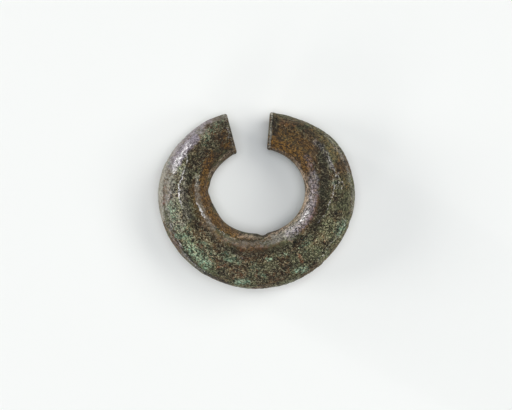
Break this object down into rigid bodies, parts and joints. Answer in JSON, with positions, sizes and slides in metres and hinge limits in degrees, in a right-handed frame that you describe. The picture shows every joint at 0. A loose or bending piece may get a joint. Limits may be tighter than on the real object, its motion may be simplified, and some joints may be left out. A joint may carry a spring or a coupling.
{
  "type": "penannular earring",
  "caption": "Open crescent ring earring with a grooved front: hammered sheets over a tapered core bar, joined by a hem round the rim and closed by flat discs at the terminals.",
  "frame": {"origin": "under the middle of the ring's box, on the surface that the ring's back lies on", "axes": "+Z along the ring's axis out of its front, +Y towards the gap, +X to the right seen from the front"},
  "size_m": [0.029, 0.026, 0.0074],
  "materials": {
    "core_bar": "cast copper alloy, dark brown and dull, hidden inside the sheets",
    "front_sheet": "hammered copper alloy under a corroded brown patina with green patches, worn smooth on the roll",
    "back_sheet": "hammered copper alloy under a brown patina with green patches, worn on the underside",
    "end_discs": "thin copper alloy disc, brown patina, edges worn"
  },
  "bodies": {
    "root": {"core_bar": "core_bar", "front_sheet": "front_sheet", "back_sheet": "back_sheet", "right_end_disc": "end_discs", "left_end_disc": "end_discs"}
  },
  "joints": []
}
